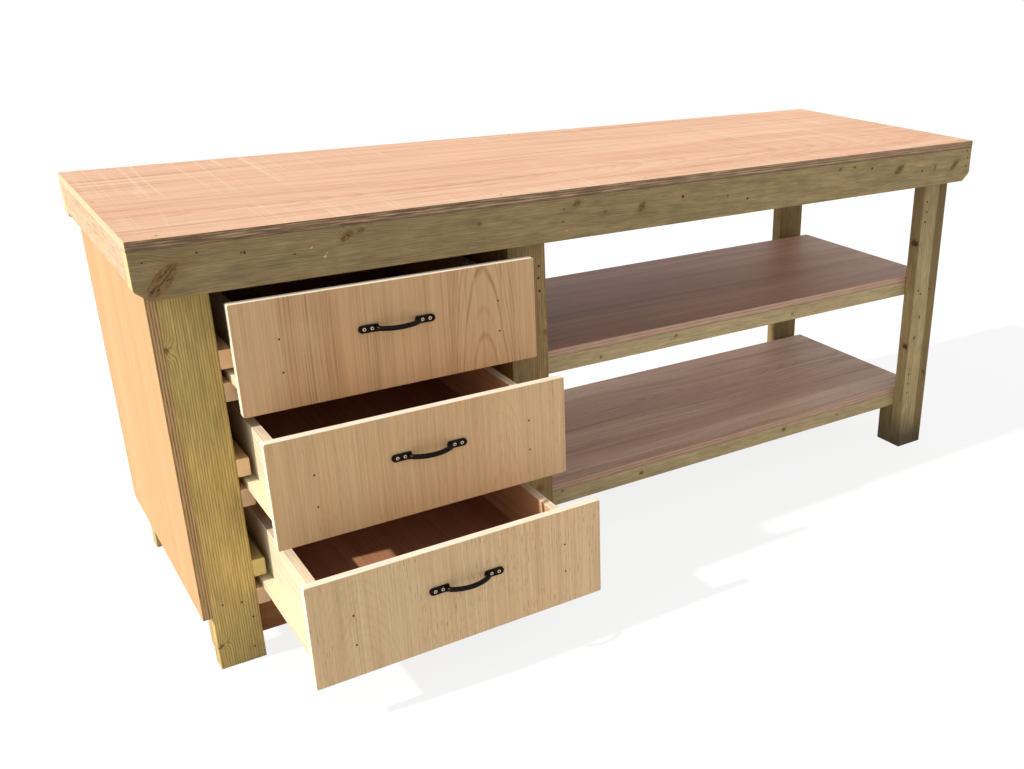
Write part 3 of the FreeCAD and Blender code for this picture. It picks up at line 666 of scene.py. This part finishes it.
frontEdges = {
    "edge": colour(238, 226, 206), "edgeDark": colour(214, 190, 162), "edgeMix": 0.25, "wave": 0.008,
}
frontLooks = {
    "top": {
        **frontEdges, "tone": colour(221, 182, 136), "deep": colour(210, 158, 108), "deepMix": 0.4,
        # the fade is painted light: the lowest 150 mm of the front lighter than the rest
        "paintedFade": (0, 150, (0.92, 0.93, 0.94)), "paintedFadeAlong": True,
        "line": colour(158, 104, 62), "lineMix": 0.16, "zoneMix": 0.62, "pores": 0.1,
        "zones": ((84, 192, 1.0), (226, 290, 0.75), (362, 372, 0.8), (396, 436, 0.4)),
        "arch": {
            "middle": 488, "apex": 208, "depth": 72, "slope": 0.1, "reach": 115, "mix": 0.75, "span": 130,
            "rings": (
                (52, 1.6, 0.3), (58.5, 1.7, 0.6), (64, 1.5, 0.3), (72.5, 1.8, 1.0), (79, 1.6, 0.45),
                (84, 1.6, 0.75), (89, 1.6, 0.45), (93, 1.8, 0.75), (99, 1.6, 0.35),
            ),
        },
    },
    "middle": {
        **frontEdges, "tone": colour(219, 183, 137), "deep": colour(208, 165, 116), "deepMix": 0.4,
        "line": colour(172, 122, 76), "lineMix": 0.18, "zoneMix": 0.35, "dashes": 0.25,
        # the fade is painted light, lighter towards the right
        "paintedFade": (60, 560, (1.1, 1.12, 1.18)),
        "zones": ((30, 60, 0.6), (330, 420, 0.5), (520, 580, 0.5)),
        "arch": {"middle": 455, "apex": 150, "depth": 60, "slope": 0.2, "spacing": 9, "reach": 80,
            "mix": 0.14},
    },
    "bottom": {
        **frontEdges, "tone": colour(226, 195, 151), "deep": colour(214, 178, 130), "deepMix": 0.4,
        # the fade is painted light, lighter towards the right
        "line": colour(172, 126, 84), "lineMix": 0.2, "dashes": 0.6, "paintedFade": (60, 560, (1.08, 1.06, 1.08)),
        "arch": {"middle": 95, "apex": 70, "depth": 60, "slope": 0.3, "spacing": 7, "reach": 90,
            "mix": 0.12},
    },
}
boxLook = {
    "tone": colour(218, 174, 132), "deep": colour(200, 148, 104), "edge": colour(228, 208, 180),
    "edgeDark": colour(202, 168, 130), "edgeMix": 0.35, "layers": 7,
}
paleSide = {
    **boxLook, "tone": colour(222, 210, 180), "deep": colour(214, 192, 152), "deepMix": 0.3,
    "lineMix": 0.08, "pores": 0.05,
}
# the base's darker tone and deep are painted shade inside the drawer box; its margin keeps the ply's own
# pale tone past the sides
baseLook = {
    **boxLook, "tone": colour(180, 128, 96), "deep": colour(150, 98, 70), "edge": colour(226, 208, 176),
    "margin": (30, colour(226, 216, 186)),
}
for level, look in frontLooks.items():
    plywoodPieces[f"drawer_{level}_front"] = ("zxy", look)
    plywoodPieces[f"drawer_{level}_box_front"] = ("xzy", boxLook)
    plywoodPieces[f"drawer_{level}_box_back"] = ("xzy", boxLook)
    plywoodPieces[f"drawer_{level}_side_left"] = ("yzx", paleSide)
    plywoodPieces[f"drawer_{level}_side_right"] = ("yzx", boxLook)
    plywoodPieces[f"drawer_{level}_base"] = ("yxz", baseLook)

for number, (node, (axes, look)) in enumerate(plywoodPieces.items()):
    dress(node, plywoodMaterial(node + "_ply", node, axes, number + 1, look))
print("plywood dressed:", len(plywoodPieces), "pieces")

# Handles, and the recess that a driver fits on every screw

iron = {
    "tone": colour(10, 7, 6), "bare": colour(24, 17, 15), "bareLimits": (0.45, 0.75), "rough": 0.3,
    "specular": 0.1, "pits": {"stretch": (500, 500, 500), "detail": 3}, "depth": 0.0003, "bump": 0.35,
}

def ironMaterial():
    made, tree, surface = startMaterial("blackIron", iron["rough"], iron["specular"])
    place = addNode(tree, "ShaderNodeTexCoord").outputs["Object"]
    pits = noise(tree, place, **iron["pits"])
    paint(tree, surface, blend(tree, remap(tree, pits, *iron["bareLimits"]), iron["tone"], iron["bare"]))
    addBump(tree, surface, pits, iron["depth"], iron["bump"])
    return made

recess = {     # in radii of the head
    "armSoft": 0.08, "armEnd": (0.55, 0.62, 1, 0), "middle": (0.2, 0.3, 1, 0),
    "rimGroove": (0.86, 1.0, 0, 0.6), "depth": -0.0006, "bump": 1.0,
}

def screwFace(tree, surface, inside, look):     # inside runs from 0 at the axis to 1 at the rim
    out = vectorCalc(tree, "LENGTH", inside)
    sides = split(tree, vectorCalc(tree, "ABSOLUTE", inside))
    arm = calc(tree, "MINIMUM", sides[0], sides[1])
    half = look["armHalf"]
    cross = remap(tree, arm, half, half + recess["armSoft"], 1, 0)
    cross = times(tree, cross, remap(tree, out, *recess["armEnd"]))
    # the cross recess and its middle are painted dark, painted shade in the hollow besides its shallow bump;
    # a dark ring also marks the rim
    hollow = calc(tree, "MAXIMUM", cross, remap(tree, out, *recess["middle"]))
    dark = calc(tree, "MAXIMUM", hollow, remap(tree, out, *recess["rimGroove"]))
    paint(tree, surface, blend(tree, dark, look["tone"], look["dark"]))
    addBump(tree, surface, hollow, recess["depth"], recess["bump"])

handleScrew = {     # places are across the handle, from its middle, in mm, and turns in degrees
    "tone": colour(228, 199, 162), "dark": colour(48, 34, 28), "rough": 0.42, "metal": 0.6, "specular": 0.5,
    "at": (-66.5, -51, 51, 66.5), "head": 3.5, "deep": 1e6, "armHalf": 0.16, "firstTurn": 25,
    "nextTurn": 31,
}

def handleScrewMaterial(node):
    look = handleScrew
    made, tree, surface = startMaterial(node + "_zinc", look["rough"], look["specular"])
    surface.inputs["Metallic"].default_value = look["metal"]
    low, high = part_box(node)
    middle = (low + high) / 2 / mm
    place = turned(tree, addNode(tree, "ShaderNodeTexCoord").outputs["Object"], "xzy")
    spots = [{
        "at": (middle[0] + away, middle[2], middle[1]), "size": (look["head"], look["head"], look["deep"]),
        "turn": look["firstTurn"] + look["nextTurn"] * number,
    } for number, away in enumerate(look["at"])]
    screwFace(tree, surface, nearestSpot(tree, place, spots)[1], look)
    return made

blackIron = ironMaterial()
for level in frontLooks:
    dress(f"drawer_{level}_handle", blackIron)
    screws = f"drawer_{level}_handle_screws"
    dress(screws, handleScrewMaterial(screws))
print("handles dressed")

# Screw, nail and pin heads, sunk in the faces. One tree sets out each kind on each body, as one mesh.

heads = {
    "screw": {"radius": 3.8, "proud": 0.25, "tone": colour(150, 128, 84), "dark": colour(36, 26, 18),
        "rough": 0.5, "metal": 0.5, "armHalf": 0.13},
    "nail": {"radius": 3.0, "proud": 0.15, "tone": colour(94, 70, 42), "dark": colour(48, 34, 20),
        "rough": 0.7, "metal": 0.2, "armHalf": 0.13},
    "pin": {"radius": 2.1, "proud": 0.1, "tone": colour(104, 70, 38), "dark": colour(48, 30, 18),
        "rough": 0.8, "metal": 0.0, "armHalf": 0.13},
}
headDisc = {"vertices": 20, "thick": 0.8, "seed": 11, "specular": 0.4, "stored": "headPlace"}
headPlaces = {     # in mm across and up the front face, from the board's low corner
    ("frame", "screw", "front_apron"): (
        (22, 69), (110, 74.5), (183, 64.5), (274.5, 48.5), (834, 66), (830, 40), (1265.5, 47.5),
        (2086.8, 62), (2081.6, 41), (2082, 82),
    ),
    ("frame", "nail", "front_apron"): ((188, 64), (1324.5, 35), (1726, 67), (1911.5, 43), (1138, 60)),
    ("frame", "pin", "leg_front_left"): ((22, 145), (58, 139), (75, 99), (69, 30)),
    ("frame", "nail", "leg_front_middle"): ((73, 728), (71, 702), (72.5, 673)),
    ("frame", "nail", "leg_front_right"): (
        (15, 732), (17, 704), (14, 676), (14, 228), (14, 199), (14, 170), (17, 480), (26, 469), (60, 479),
    ),
    ("drawer_top", "pin", "drawer_top_front"): ((81, 138.5), (81, 73.7), (522, 138.5), (522, 73.7)),
    ("drawer_middle", "pin", "drawer_middle_front"): ((81, 135), (81, 69.6), (522, 139), (522, 73.4)),
    ("drawer_bottom", "pin", "drawer_bottom_front"): ((81, 132), (81, 68.5), (522, 138.5), (522, 76)),
}

def headMaterial(kind):
    look = heads[kind]
    made, tree, surface = startMaterial(kind + "Head", look["rough"], headDisc["specular"])
    surface.inputs["Metallic"].default_value = look["metal"]
    stored = addNode(tree, "ShaderNodeAttribute", attribute_name=headDisc["stored"])
    screwFace(tree, surface, stored.outputs["Vector"], look)
    return made

def headTree():
    tree = bpy.data.node_groups.new("sunkHeads", "GeometryNodeTree")
    face = tree.interface
    face.new_socket("Geometry", in_out="INPUT", socket_type="NodeSocketGeometry")
    kinds = {
        "Radius": "Float", "Thickness": "Float", "Vertices": "Int", "Seed": "Int", "Material": "Material",
    }
    for socket, kind in kinds.items():
        face.new_socket(socket, in_out="INPUT", socket_type="NodeSocket" + kind)
    face.new_socket("Geometry", in_out="OUTPUT", socket_type="NodeSocketGeometry")
    given = addNode(tree, "NodeGroupInput").outputs
    disc = addNode(tree, "GeometryNodeMeshCylinder", {
        "Vertices": given["Vertices"], "Radius": given["Radius"], "Depth": given["Thickness"],
    }, fill_type="TRIANGLE_FAN").outputs["Mesh"]
    flat = vectorCalc(tree, "MULTIPLY", addNode(tree, "GeometryNodeInputPosition").outputs[0], (1, 1, 0))
    radius = given["Radius"]
    size = addNode(tree, "ShaderNodeCombineXYZ", {0: radius, 1: radius, 2: 1.0}).outputs[0]
    marked = addNode(tree, "GeometryNodeStoreNamedAttribute", {
        "Geometry": disc, "Name": headDisc["stored"], "Value": vectorCalc(tree, "DIVIDE", flat, size),
    }, data_type="FLOAT_VECTOR", domain="POINT").outputs[0]
    upright = math.pi / 2     # turns the disc to face out of the board, at a random turn of its recess
    spin = addNode(tree, "FunctionNodeRandomValue", {
        "Min": (upright, 0, 0), "Max": (upright, math.pi, 0), "Seed": given["Seed"],
    }, data_type="FLOAT_VECTOR").outputs["Value"]
    placed = addNode(tree, "GeometryNodeInstanceOnPoints", {
        "Points": given["Geometry"], "Instance": marked, "Rotation": spin,
    }).outputs[0]
    real = addNode(tree, "GeometryNodeRealizeInstances", {"Geometry": placed}).outputs[0]
    painted = addNode(tree, "GeometryNodeSetMaterial", {"Geometry": real, "Material": given["Material"]})
    addNode(tree, "NodeGroupOutput", {"Geometry": painted.outputs[0]})
    return tree

def applyTree(name, mesh, tree, values):     # the tree's result as a plain mesh
    source = bpy.data.objects.new(name, mesh)
    scene.collection.objects.link(source)
    modifier = source.modifiers.new("tree", "NODES")
    modifier.node_group = tree
    for item in tree.interface.items_tree:
        if item.item_type == "SOCKET" and item.in_out == "INPUT" and item.name in values:
            modifier[item.identifier] = values[item.name]
    source.update_tag()
    bpy.context.view_layer.update()
    depsgraph = bpy.context.evaluated_depsgraph_get()
    result = bpy.data.meshes.new_from_object(source.evaluated_get(depsgraph), depsgraph=depsgraph)
    source.modifiers.remove(modifier)
    source.data = result
    return source

def headPoints():     # the places of each body's heads of one kind, at rest
    points = {}
    for (body, kind, node), places in headPlaces.items():
        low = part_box(node)[0]
        sunk = low[1] + (headDisc["thick"] / 2 - heads[kind]["proud"]) * mm
        spots = points.setdefault((body, kind), [])
        spots.extend((low[0] + across * mm, sunk, low[2] + up * mm) for across, up in places)
    return points

def placeHeads():
    tree = headTree()
    materials = {kind: headMaterial(kind) for kind in heads}
    points = headPoints()
    for (body, kind), spots in points.items():
        mesh = bpy.data.meshes.new(f"{body}_{kind}_points")
        mesh.from_pydata(spots, [], [])
        made = applyTree(f"{body}_{kind}_heads", mesh, tree, {
            "Radius": heads[kind]["radius"] * mm, "Thickness": headDisc["thick"] * mm,
            "Vertices": headDisc["vertices"], "Seed": headDisc["seed"], "Material": materials[kind],
        })
        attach(made, body)
    return sum(len(spots) for spots in points.values())

print("screw, nail and pin heads set:", placeHeads())

# Camera, light and floor

view = {     # the place in metres, angles in degrees
    "place": (-1.3314, -2.318, 1.358), "azimuth": 36.2, "elevation": 23.28, "roll": 1.152,
    "lens": 38.224, "shift": (-0.17, 0.0298),
}

def makeCamera():
    turn = Matrix.Rotation(math.radians(-view["azimuth"]), 4, "Z")
    tip = Matrix.Rotation(math.radians(90 - view["elevation"]), 4, "X")
    roll = Matrix.Rotation(math.radians(view["roll"]), 4, "Z")
    data = bpy.data.cameras.new("photoCamera")
    data.lens = view["lens"]
    data.sensor_fit = "HORIZONTAL"
    data.shift_x, data.shift_y = view["shift"]
    camera = bpy.data.objects.new("photoCamera", data)
    camera.matrix_world = Matrix.Translation(view["place"]) @ turn @ tip @ roll
    scene.collection.objects.link(camera)
    scene.camera = camera

light = {
    "sky": 0.6, "sun": 4.0, "sunTone": (1.0, 0.97, 0.9), "sunSoftness": 1.5, "sunTravel": (1, -0.08, -0.8),
}

def seenRays(tree):     # 1 for what the camera sees, straight, in a reflection or through glass
    path = addNode(tree, "ShaderNodeLightPath").outputs
    either = calc(tree, "MAXIMUM", path["Is Camera Ray"], path["Is Glossy Ray"])
    return calc(tree, "MAXIMUM", either, path["Is Transmission Ray"])

def makeLight():
    world = bpy.data.worlds.new("studio")
    world.use_nodes = True
    tree = world.node_tree
    strength = calc(tree, "MULTIPLY_ADD", seenRays(tree), 1 - light["sky"], light["sky"])
    background = tree.nodes["Background"]
    background.inputs["Color"].default_value = (1, 1, 1, 1)
    tree.links.new(strength, background.inputs["Strength"])
    scene.world = world
    sun = bpy.data.lights.new("keyLight", "SUN")
    sun.energy = light["sun"]
    sun.color = light["sunTone"]
    sun.angle = math.radians(light["sunSoftness"])
    lamp = bpy.data.objects.new("keyLight", sun)
    lamp.rotation_euler = Vector(light["sunTravel"]).to_track_quat("-Z", "Y").to_euler()
    scene.collection.objects.link(lamp)

ground = {     # half its width in metres, its grey for the light it throws back, and for the camera
    "half": 40.0, "grey": 0.62, "seenGrey": 0.15, "rough": 0.9, "specular": 0.0,
}

def makeFloor():
    half = ground["half"]
    mesh = bpy.data.meshes.new("floor")
    corners = ((-half, -half, 0), (half, -half, 0), (half, half, 0), (-half, half, 0))
    mesh.from_pydata(corners, [], [(0, 1, 2, 3)])
    floor = bpy.data.objects.new("floor", mesh)
    scene.collection.objects.link(floor)
    made, tree, surface = startMaterial("paleFloor", ground["rough"], ground["specular"])
    seen = seenRays(tree)
    plain, shown = ground["grey"], ground["seenGrey"]
    paint(tree, surface, blend(tree, seen, (plain, plain, plain, 1), (shown, shown, shown, 1)))
    surface.inputs["Emission Color"].default_value = (1, 1, 1, 1)
    tree.links.new(times(tree, seen, 1 - shown), surface.inputs["Emission Strength"])
    mesh.materials.append(made)

makeCamera()
makeLight()
makeFloor()
print("camera, light and floor made")
